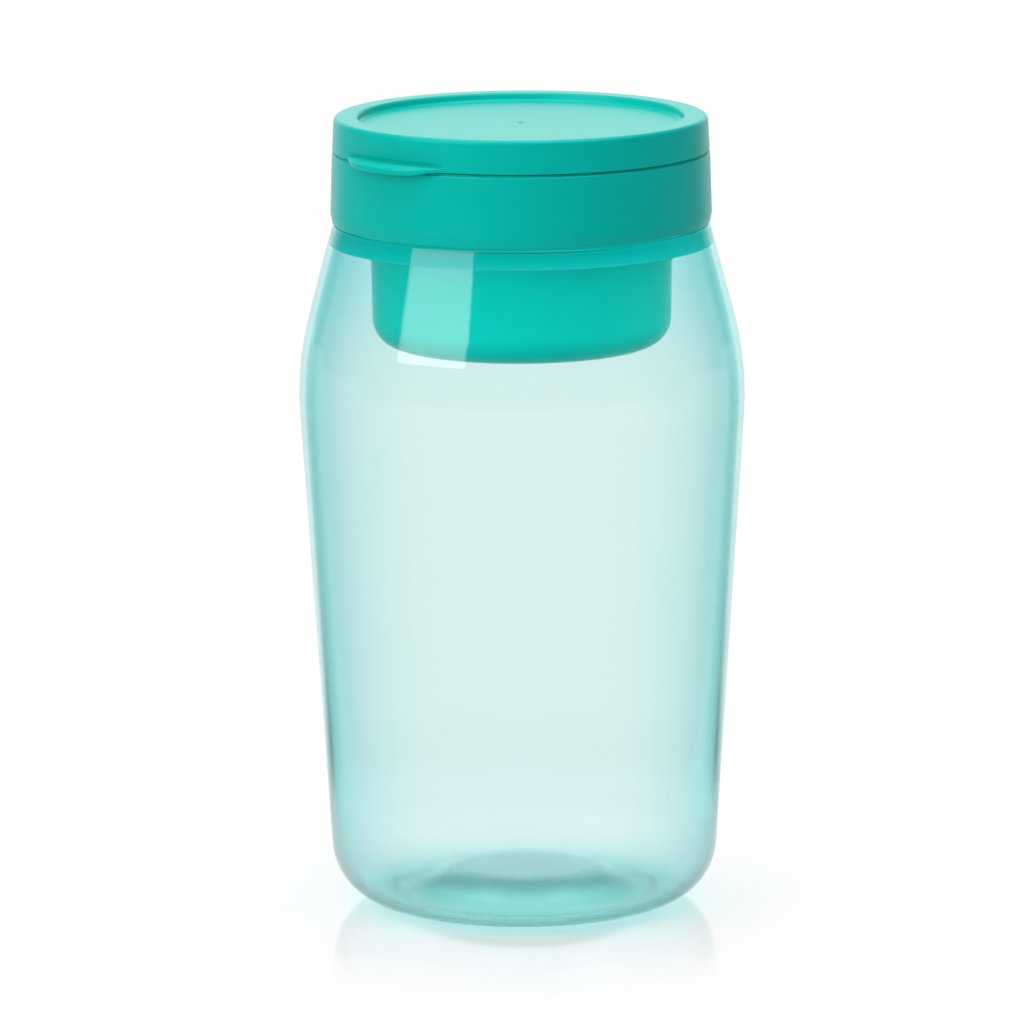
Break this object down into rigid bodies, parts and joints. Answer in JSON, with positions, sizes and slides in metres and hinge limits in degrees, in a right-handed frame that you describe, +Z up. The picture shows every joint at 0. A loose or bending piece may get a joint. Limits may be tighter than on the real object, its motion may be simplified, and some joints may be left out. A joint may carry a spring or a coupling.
{
  "type": "storage jar",
  "caption": "Clear tinted storage jar with a rounded shoulder, a snack cup that screws onto its neck and hangs inside, and a press-on lid with a round pull tab.",
  "frame": {"origin": "centre of the ring that the jar stands on, at table level", "axes": "+Z up along the jar's axis, -Y towards the viewer of the picture, +X to the viewer's right"},
  "size_m": [0.095, 0.095, 0.1696],
  "materials": {
    "clear_body": "clear pale teal blown plastic, glossy",
    "seal": "matte silicone",
    "cup_and_collar": "satin moulded teal plastic",
    "lid": "satin moulded teal plastic"
  },
  "bodies": {
    "jar": {"jar": "clear_body"},
    "rim_seal": {"rim_seal": "seal"},
    "snack_cup": {"snack_cup": "cup_and_collar"},
    "lid": {"lid": "lid"}
  },
  "joints": [
    {"name": "cup_lift", "type": "slide", "parent": "jar", "child": "rim_seal", "axis": [0, 0, 1], "range_m": [0, 0.04]},
    {"name": "cup_unscrew", "type": "hinge", "parent": "rim_seal", "child": "snack_cup", "pos_m": [0, 0, 0.15], "axis": [0, 0, 1], "range_deg": [0, 900]},
    {"name": "lid_lift", "type": "slide", "parent": "snack_cup", "child": "lid", "axis": [0, 0, 1], "range_m": [0, 0.03]}
  ],
  "couplings": [
    {"joint": "cup_lift", "follows": "cup_unscrew", "m_per_rad": 0.0025465}
  ]
}
